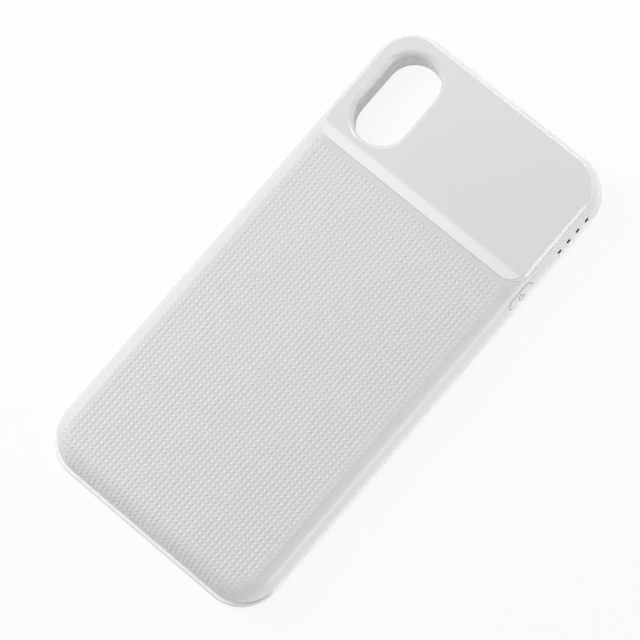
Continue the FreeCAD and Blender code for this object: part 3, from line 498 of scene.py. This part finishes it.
@dataclass
class PanelSkin:
    """Camera panel as it is seen: pressed home in its seat, with every edge eased."""

    spread: float = 0.1 * MM
    ease: float = 0.05 * MM
    ease_steps: int = 2
    ease_angle: float = math.radians(25.0)
    smooth_angle: float = math.radians(35.0)
    front_corner: float = 5.5 * MM
    back_corner: float = 9.0 * MM
    rim_width: float = 0.8 * MM
    flat_angle: float = math.radians(0.5)
    pieces: list[bpy.types.Object] = field(default_factory=list)

    def __post_init__(self) -> None:
        """Read the panel's middle and half size from its own box."""
        low, high = (Vector(corner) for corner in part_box("camera_panel"))
        self.middle = (low + high) / 2
        self.half = (high - low) / 2

    def inside(self, spot: Vector) -> float:
        """Measure how far a point lies inside the panel's rounded outline.

        Args:
            spot: a point of the panel.

        Returns:
            The distance in plan, below 0 outside the outline.
        """
        corner = self.front_corner if spot.y < self.middle.y else self.back_corner
        across = abs(spot.x - self.middle.x) - (self.half.x - corner)
        along = abs(spot.y - self.middle.y) - (self.half.y - corner)
        if across > 0 and along > 0:
            return corner - math.hypot(across, along)
        return corner - max(across, along)

    def build(self) -> None:
        """Copy the panel, close its sides up to the seat and ease its edges."""
        bpy.ops.object.select_all(action="DESELECT")
        panel = bpy.data.objects.new("panel_skin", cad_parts["camera_panel"].data.copy())
        bpy.context.scene.collection.objects.link(panel)
        bpy.context.view_layer.objects.active = panel
        panel.select_set(True)
        bpy.ops.mesh.customdata_custom_splitnormals_clear()
        bpy.ops.object.mode_set(mode="EDIT")
        bpy.ops.mesh.select_all(action="SELECT")
        bpy.ops.mesh.remove_doubles(threshold=WELD)
        bpy.ops.mesh.dissolve_limited(angle_limit=self.flat_angle)
        bpy.ops.mesh.select_all(action="DESELECT")
        bpy.ops.object.mode_set(mode="OBJECT")
        for vertex in panel.data.vertices:
            vertex.select = self.inside(vertex.co) < self.rim_width
        bpy.ops.object.mode_set(mode="EDIT")
        growth = (1 + self.spread / self.half.x, 1 + self.spread / self.half.y, 1.0)
        bpy.ops.transform.resize(value=growth, orient_type="GLOBAL", center_override=self.middle)
        bpy.ops.object.mode_set(mode="OBJECT")
        bpy.ops.object.modifier_add(type="BEVEL")
        easing = panel.modifiers[-1]
        easing.width = self.ease
        easing.segments = self.ease_steps
        easing.limit_method = "ANGLE"
        easing.angle_limit = self.ease_angle
        bpy.ops.object.modifier_apply(modifier=easing.name)
        bpy.ops.object.shade_smooth_by_angle(angle=self.smooth_angle)
        bpy.ops.object.modifier_add(type="WEIGHTED_NORMAL")
        flats = panel.modifiers[-1]
        flats.keep_sharp = True
        bpy.ops.object.modifier_apply(modifier=flats.name)
        self.pieces = [panel]

    def dress(self, finish: MouldedPlastic) -> None:
        """Give the panel its finish and let it stand for the plain one.

        Args:
            finish: plastic of the panel.
        """
        for piece in self.pieces:
            piece.data.materials.clear()
            piece.data.materials.append(finish.material())
            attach(piece, Body.BANK.value)
            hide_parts("camera_panel")
            log.info("%s: %d faces", piece.name, len(piece.data.polygons))


@dataclass
class ButtonSign:
    """Ring with a gap and a bar, inlaid in the button's round face."""

    radius: float = 1.05 * MM
    line: float = 0.22 * MM
    gap_half: float = math.radians(34.0)
    bar_length: float = 0.95 * MM
    proud: float = 0.025 * MM
    sink: float = 0.1 * MM
    face_radius: float = 5.55 * MM
    axis_x: float = 29.85 * MM
    axis_z: float = 3.8 * MM
    ring_sides: int = 48
    bar_cuts: int = 4
    pieces: list[bpy.types.Object] = field(default_factory=list)

    def __post_init__(self) -> None:
        """Read the middle of the button from its own box."""
        low, high = (Vector(corner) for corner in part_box("power_button"))
        self.middle = (low + high) / 2

    def select_gap(self, mesh: bpy.types.Mesh) -> None:
        """Select the ring's faces that lie round its top.

        Args:
            mesh: the ring's mesh, which is in edit mode before and after.
        """
        bpy.ops.mesh.select_all(action="DESELECT")
        bpy.ops.object.mode_set(mode="OBJECT")
        for face in mesh.polygons:
            face.select = abs(math.atan2(face.center.x, face.center.y)) < self.gap_half
        bpy.ops.object.mode_set(mode="EDIT")

    def wrap(self, spot: Vector) -> Vector:
        """Lay a point of the flat sign on the button's round face.

        Args:
            spot: x down the face, y along the bank, z out of the face.

        Returns:
            The point on the button.
        """
        start = math.asin((self.middle.z - self.axis_z) / self.face_radius)
        angle = start - spot.x / self.face_radius
        reach = self.face_radius + spot.z
        return Vector((self.axis_x + reach * math.cos(angle), self.middle.y + spot.y,
                       self.axis_z + reach * math.sin(angle)))

    def build(self) -> None:
        """Make the sign flat, give it thickness and lay it on the face."""
        bpy.ops.object.select_all(action="DESELECT")
        bpy.ops.mesh.primitive_circle_add(vertices=self.ring_sides, radius=self.radius, fill_type="NGON",
                                          location=(0, 0, 0))
        sign = bpy.context.object
        sign.name = "button_sign"
        bpy.ops.object.mode_set(mode="EDIT")
        bpy.ops.mesh.select_all(action="SELECT")
        bpy.ops.mesh.inset(thickness=self.line)
        bpy.ops.mesh.delete(type="FACE")
        self.select_gap(sign.data)
        bpy.ops.mesh.delete(type="FACE")
        bar_middle = (0, self.radius - self.bar_length / 2, 0)
        bpy.ops.mesh.primitive_plane_add(size=1.0, location=bar_middle)
        bpy.ops.transform.resize(value=(self.line, self.bar_length, 1.0), orient_type="GLOBAL",
                                 center_override=bar_middle)
        bpy.ops.mesh.subdivide(number_cuts=self.bar_cuts)
        bpy.ops.mesh.select_all(action="SELECT")
        bpy.ops.mesh.extrude_region_move(
            TRANSFORM_OT_translate={"value": (0, 0, self.proud + self.sink), "orient_type": "GLOBAL"})
        bpy.ops.mesh.select_all(action="SELECT")
        bpy.ops.mesh.remove_doubles(threshold=WELD)
        bpy.ops.mesh.normals_make_consistent(inside=False)
        bpy.ops.object.mode_set(mode="OBJECT")
        for vertex in sign.data.vertices:
            vertex.co = self.wrap(vertex.co - Vector((0, 0, self.sink)))
        self.pieces = [sign]

    def dress(self, finish: MouldedPlastic) -> None:
        """Give the sign its finish and let it ride on the button.

        Args:
            finish: plastic of the sign.
        """
        for piece in self.pieces:
            piece.data.materials.append(finish.material())
            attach(piece, Body.BUTTON.value)
            log.info("%s: %d faces", piece.name, len(piece.data.polygons))


@dataclass
class LightTips:
    """Dark end of each light guide, filling its slot out to the round of the side; its near-black is
    painted shade of the slot.
    """

    count: int = 4
    pitch: float = 3.55 * MM
    length: float = 1.0 * MM
    height: float = 0.84 * MM
    lap: float = 0.05 * MM
    sink: float = 0.02 * MM
    round_off: float = 0.06 * MM
    round_steps: int = 3
    side_round: float = 5.4 * MM
    end_room: float = 1.3 * MM
    pieces: list[bpy.types.Object] = field(default_factory=list)

    def __post_init__(self) -> None:
        """Read the guide's end and level, and the axis of the side's round, from the nodes' boxes."""
        low, high = (Vector(corner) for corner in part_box("light_guide"))
        shell = Vector(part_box("back_shell")[1])
        self.root_x = high.x - self.lap
        self.first = Vector((0.0, high.y - self.end_room, (low.z + high.z) / 2))
        self.axis = Vector((shell.x - self.side_round, 0.0, shell.z - self.side_round))

    def seat(self, spot: Vector) -> Vector:
        """Set a corner of the plain tip on the guide's end or on the round of the side.

        Args:
            spot: x from the root at 0 to the face at 1, y along and z up from the slot's middle.

        Returns:
            The corner's place on the bank.
        """
        place = self.first + Vector((0.0, spot.y, spot.z))
        rise = place.z - self.axis.z
        face_x = self.axis.x + math.sqrt((self.side_round - self.sink) ** 2 - rise ** 2)
        place.x = self.root_x + spot.x * (face_x - self.root_x)
        return place

    def build(self) -> None:
        """Shape the first tip and copy it along the row."""
        bpy.ops.object.select_all(action="DESELECT")
        bpy.ops.mesh.primitive_cube_add(size=1.0, location=(0, 0, 0))
        tip = bpy.context.object
        tip.name = "light_tip_1"
        bpy.ops.object.mode_set(mode="EDIT")
        bpy.ops.mesh.select_all(action="SELECT")
        bpy.ops.transform.translate(value=(0.5, 0, 0), orient_type="GLOBAL")
        bpy.ops.transform.resize(value=(1.0, self.length, self.height), orient_type="GLOBAL",
                                 center_override=(0, 0, 0))
        bpy.ops.mesh.select_all(action="DESELECT")
        bpy.ops.object.mode_set(mode="OBJECT")
        for edge in tip.data.edges:
            ends = [tip.data.vertices[index].co.x for index in edge.vertices]
            edge.select = ends[0] != ends[1]
        bpy.ops.object.mode_set(mode="EDIT")
        bpy.ops.mesh.bevel(offset=self.round_off, segments=self.round_steps, affect="EDGES")
        bpy.ops.object.mode_set(mode="OBJECT")
        for vertex in tip.data.vertices:
            vertex.co = self.seat(vertex.co)
        self.pieces = [tip]
        for number in range(2, self.count + 1):
            bpy.ops.object.duplicate(linked=False)
            copy = bpy.context.object
            copy.name = f"light_tip_{number}"
            bpy.ops.object.mode_set(mode="EDIT")
            bpy.ops.mesh.select_all(action="SELECT")
            bpy.ops.transform.translate(value=(0, -self.pitch, 0), orient_type="GLOBAL")
            bpy.ops.object.mode_set(mode="OBJECT")
            self.pieces.append(copy)

    def dress(self, finish: MouldedPlastic) -> None:
        """Give the tips their finish and let them ride on the bank.

        Args:
            finish: plastic of the tips.
        """
        material = finish.material()
        for piece in self.pieces:
            piece.data.materials.clear()
            piece.data.materials.append(material)
            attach(piece, Body.BANK.value)
            log.info("%s: %d faces", piece.name, len(piece.data.polygons))


@dataclass
class SocketContacts:
    """Plated contact strips along both faces of the socket's tongue."""

    count: int = 12
    pitch: float = 0.5 * MM
    width: float = 0.27 * MM
    length: float = 3.2 * MM
    thickness: float = 0.06 * MM
    proud: float = 0.03 * MM
    setback: float = 0.35 * MM
    round_off: float = 0.012 * MM
    round_steps: int = 2
    blade_half: float = 0.35 * MM
    pieces: list[bpy.types.Object] = field(default_factory=list)

    def __post_init__(self) -> None:
        """Read where the tongue ends from its own box."""
        low, high = (Vector(corner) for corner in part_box("port_tongue"))
        self.middle = (low + high) / 2
        self.front = high.y

    def build(self) -> None:
        """Shape one strip, repeat it across the tongue, and set a second row below."""
        bpy.ops.object.select_all(action="DESELECT")
        level = self.middle.z + self.blade_half + self.proud - self.thickness / 2
        first = Vector((self.middle.x - (self.count - 1) * self.pitch / 2,
                        self.front - self.setback - self.length / 2, level))
        bpy.ops.mesh.primitive_cube_add(size=1.0, location=(0, 0, 0))
        strips = bpy.context.object
        strips.name = "socket_contacts"
        bpy.ops.object.mode_set(mode="EDIT")
        bpy.ops.mesh.select_all(action="SELECT")
        bpy.ops.transform.resize(value=(self.width, self.length, self.thickness), orient_type="GLOBAL",
                                 center_override=(0, 0, 0))
        bpy.ops.mesh.bevel(offset=self.round_off, segments=self.round_steps, affect="EDGES")
        bpy.ops.mesh.select_all(action="SELECT")
        bpy.ops.transform.translate(value=first, orient_type="GLOBAL")
        for _ in range(self.count - 1):
            bpy.ops.mesh.duplicate_move(
                TRANSFORM_OT_translate={"value": (self.pitch, 0, 0), "orient_type": "GLOBAL"})
        bpy.ops.mesh.select_all(action="SELECT")
        bpy.ops.mesh.duplicate_move(
            TRANSFORM_OT_translate={"value": (0, 0, 2 * (self.middle.z - level)), "orient_type": "GLOBAL"})
        bpy.ops.mesh.select_all(action="SELECT")
        bpy.ops.mesh.normals_make_consistent(inside=False)
        bpy.ops.object.mode_set(mode="OBJECT")
        self.pieces = [strips]

    def dress(self, finish: DrawnMetal) -> None:
        """Give the strips their plating and let them ride on the bank.

        Args:
            finish: plating of the strips.
        """
        for piece in self.pieces:
            piece.data.materials.append(finish.material())
            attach(piece, Body.BANK.value)
            log.info("%s: %d faces", piece.name, len(piece.data.polygons))


def stand(right: Vector, up: Vector, back: Vector, spot: Vector) -> Matrix:
    """World matrix of a camera or lamp, from its axes and its place."""
    return Matrix((*zip(right, up, back, spot), (0, 0, 0, 1)))


@dataclass(frozen=True)
class Lamp:
    """A soft lamp aimed at the frame's origin; distance and size are in metres, power in watts."""

    name: str
    toward: Triple
    distance: float
    size: tuple[float, float]
    power: float

    def build(self) -> None:
        """Set the lamp in its place, out of the camera's sight."""
        data = bpy.data.lights.new(self.name, "AREA")
        data.shape = "RECTANGLE"
        data.size, data.size_y = self.size
        data.energy = self.power
        lamp = bpy.data.objects.new(self.name, data)
        way = Vector(self.toward).normalized()
        across = Vector((0, 0, 1)).cross(way).normalized()
        lamp.matrix_world = stand(across, way.cross(across), way, way * self.distance)
        lamp.visible_camera = False
        bpy.context.scene.collection.objects.link(lamp)


@dataclass
class Studio:
    """Pale floor, soft light and the camera that takes the product picture."""

    focal_px: float = 3396.8
    frame_px: float = 640.0
    sensor_mm: float = 36.0
    clip_start: float = 0.01
    tilt_right: float = math.radians(12.725)
    tilt_end: float = math.radians(-6.027)
    roll: float = math.radians(40.755)
    px_per_mm: float = 3.917
    shift_right: float = -2.522 * MM
    shift_up: float = -0.484 * MM
    origin_y: float = 0.25 * MM
    fill: float = 0.29
    floor_size: float = 6.0
    floor_level: float = -0.0002
    paper_shade: float = 0.9
    paper_roughness: float = 0.9
    white_share: float = 0.88
    lamps: tuple[Lamp, ...] = (
        Lamp("key_lamp", (-0.7, -0.15, 0.7), 0.6, (0.34, 0.34), 1.97),
        Lamp("side_lamp", (1.0, 0.0, 0.06), 1.2, (0.3, 0.12), 4.6),
        Lamp("side_strip", (0.929, 0.3176, 0.189), 0.296, (0.055, 0.022), 0.06),
        Lamp("end_lamp", (-0.04, 1.0, 0.2), 0.25, (0.09, 0.05), 0.165),
        Lamp("roll_lamp", (-0.22, -0.12, 0.97), 1.0, (0.2, 0.2), 1.2),
    )

    def axes(self) -> tuple[Vector, Vector, Vector]:
        """Work out the camera's directions from its tilts and roll.

        Returns:
            Its right, up and backward directions.
        """
        back = Vector((math.sin(self.tilt_right) * math.cos(self.tilt_end), math.sin(self.tilt_end),
                       math.cos(self.tilt_right) * math.cos(self.tilt_end)))
        right = Vector((0, 1, 0)).cross(back).normalized()
        up = back.cross(right)
        return (right * math.cos(self.roll) + up * math.sin(self.roll),
                up * math.cos(self.roll) - right * math.sin(self.roll), back)

    def camera(self) -> None:
        """Set the camera at the picture's place and lens."""
        right, up, back = self.axes()
        distance = self.focal_px / self.px_per_mm * MM
        data = bpy.data.cameras.new("picture_camera")
        data.sensor_width = self.sensor_mm
        data.lens = self.focal_px / self.frame_px * self.sensor_mm
        data.clip_start = self.clip_start
        camera = bpy.data.objects.new("picture_camera", data)
        spot = back * distance + right * self.shift_right + up * self.shift_up
        camera.matrix_world = stand(right, up, back, spot + Vector((0, self.origin_y, 0)))
        bpy.context.scene.collection.objects.link(camera)
        bpy.context.scene.camera = camera

    def light(self) -> None:
        """Set the lamps and the world's fill."""
        for lamp in self.lamps:
            lamp.build()
        world = bpy.data.worlds.new("studio_world")
        world.use_nodes = True
        back = world.node_tree.nodes["Background"]
        back.inputs["Color"].default_value = (1.0, 1.0, 1.0, 1.0)
        back.inputs["Strength"].default_value = self.fill
        bpy.context.scene.world = world

    def floor(self) -> None:
        """Lay a pale floor that shows white to the camera and keeps the bank's soft shadow."""
        bpy.ops.object.select_all(action="DESELECT")
        bpy.ops.mesh.primitive_plane_add(size=self.floor_size, location=(0, 0, self.floor_level))
        floor = bpy.context.object
        floor.name = "studio_floor"
        sheet = MaterialSheet("studio_paper")
        shade_of_paper = (self.paper_shade, self.paper_shade, self.paper_shade, 1.0)
        sheet.surface(Base_Color=shade_of_paper, Roughness=self.paper_roughness)
        ray = sum(sheet.node("ShaderNodeLightPath", {}, {}, name)
                  for name in ("Is Camera Ray", "Is Glossy Ray", "Is Transmission Ray"))
        glow = sheet.node("ShaderNodeEmission", {}, {"Color": (1, 1, 1, 1), "Strength": 1.0})
        paper = Wire(sheet, sheet.shader.outputs[0])
        mixed = sheet.node("ShaderNodeMixShader", {}, {0: ray * self.white_share, 1: paper, 2: glow})
        output = next(item for item in sheet.tree.nodes if item.type == "OUTPUT_MATERIAL")
        sheet.feed(output.inputs["Surface"], mixed)
        floor.data.materials.append(sheet.material)

    def build(self) -> None:
        """Set up the whole studio."""
        bpy.context.scene.view_settings.view_transform = "Standard"
        self.camera()
        self.light()
        self.floor()


WHITE = (0.85, 0.85, 0.85)
BLACK = (0.03, 0.03, 0.032)
EPOXY = (0.025, 0.025, 0.028)
LACQUER = (0.03, 0.16, 0.08)
COPPER = (0.72, 0.38, 0.2)
ZINC = (0.55, 0.55, 0.57)
COIL_CENTRE = (0.0, -0.0048, 0.0)
STUDS = MouldedPlastic("stud_white", (0.81, 0.81, 0.81), 0.45)
PANEL = MouldedPlastic("panel_white", (0.855, 0.855, 0.855), 0.25, grain_depth=0.0008 * MM)
SIGN = MouldedPlastic("sign_grey", (0.3, 0.3, 0.31), 0.5)
# near-black with almost no reflection, darker than any plastic here: painted shade of the light slots, on
# the guides and their tips
PAINTED_SLOT_SHADE = MouldedPlastic("guide_painted_slot_shade", (0.004, 0.004, 0.005), 0.5, Grain.POLISHED, specular=0.05)
PLATING = DrawnMetal("contact_plating", (0.83, 0.62, 0.28), 0.25)


@dataclass
class Housing:
    """Carried-over pieces of the bank and the finish that each one takes."""

    finishes: dict[str, Finish] = field(default_factory=lambda: {
        # paler than the shell: partly a whiter plastic, partly painted light that brightens the rim ledge
        "base_frame": MouldedPlastic("frame_white_painted_light", (0.92, 0.92, 0.92), 0.25, Grain.POLISHED),
        "charge_plate": MouldedPlastic("plate_white", WHITE, 0.42, Grain.ETCHED),
        "back_shell": MouldedPlastic("shell_white", (0.83, 0.83, 0.83), 0.42),
        "power_button": MouldedPlastic("button_white", WHITE, 0.4),
        # the guide takes the near-black painted shade of its slot
        "light_guide": PAINTED_SLOT_SHADE,
        "main_board": LacqueredBoard("green_lacquer", LACQUER),
        "cell_board": LacqueredBoard("guard_lacquer", LACQUER),
        "port_shell": DrawnMetal("socket_steel", (0.7, 0.7, 0.72), 0.3),
        "port_tongue": MouldedPlastic("tongue_black", BLACK, 0.45),
        "switch_body": DrawnMetal("switch_steel", (0.62, 0.62, 0.64), 0.4),
        "switch_plunger": MouldedPlastic("plunger_black", BLACK, 0.5),
        "driver_chip": MouldedPlastic("driver_epoxy", EPOXY, 0.55, Grain.ETCHED),
        "charge_chip": MouldedPlastic("charger_epoxy", EPOXY, 0.55, Grain.ETCHED),
        "control_chip": MouldedPlastic("control_epoxy", EPOXY, 0.55, Grain.ETCHED),
        "power_inductor": SinteredBody("inductor_ferrite", (0.07, 0.07, 0.075), 0.6),
        "ferrite_sheet": SinteredBody("sheet_ferrite", (0.06, 0.06, 0.065), 0.7),
        "resonance_capacitors": SinteredBody("tank_ceramic", (0.42, 0.33, 0.22), 0.5),
        "filter_capacitors": SinteredBody("filter_ceramic", (0.36, 0.27, 0.18), 0.5),
        "battery_cell": DrawnMetal("cell_foil", (0.66, 0.67, 0.69), 0.45, (1.0, 1.0, 0.2)),
        "cell_tape": MouldedPlastic("tape_white", (0.78, 0.77, 0.73), 0.7, Grain.ETCHED),
        "cell_tabs": DrawnMetal("tab_nickel", (0.62, 0.6, 0.56), 0.35),
        "lead_positive": MouldedPlastic("lead_red", (0.42, 0.03, 0.03), 0.5),
        "lead_negative": MouldedPlastic("lead_black", (0.02, 0.02, 0.022), 0.5),
        "coil_winding": WoundCopper("winding_copper", COPPER, COIL_CENTRE, 0.8 * MM),
        "coil_lead_inner": DrawnMetal("inner_lead_copper", COPPER, 0.35),
        "coil_lead_outer": DrawnMetal("outer_lead_copper", COPPER, 0.35),
        "frame_screws": DrawnMetal("frame_screw_zinc", ZINC, 0.35),
        "board_screws": DrawnMetal("board_screw_zinc", ZINC, 0.35),
        **{f"light_diode_{number}": MouldedPlastic(f"diode_resin_{number}", (0.75, 0.72, 0.5), 0.3)
           for number in range(1, 5)},
    })

    def dress(self) -> None:
        """Give every carried-over piece its node material."""
        for name, finish in self.finishes.items():
            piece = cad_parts[name]
            material = finish.material()
            for slot in piece.material_slots:
                slot.material = material
            log.info("%s: %s", name, material.name)


def main() -> None:
    """Build the looks in order."""
    logging.basicConfig(level=logging.INFO, format="%(message)s")
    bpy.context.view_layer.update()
    Housing().dress()
    for assembly, finish in ((StudField(), STUDS), (PanelSkin(), PANEL), (ButtonSign(), SIGN),
                             (LightTips(), PAINTED_SLOT_SHADE), (SocketContacts(), PLATING)):
        assembly.build()
        assembly.dress(finish)
    Studio().build()


if __name__ == "__main__":
    main()
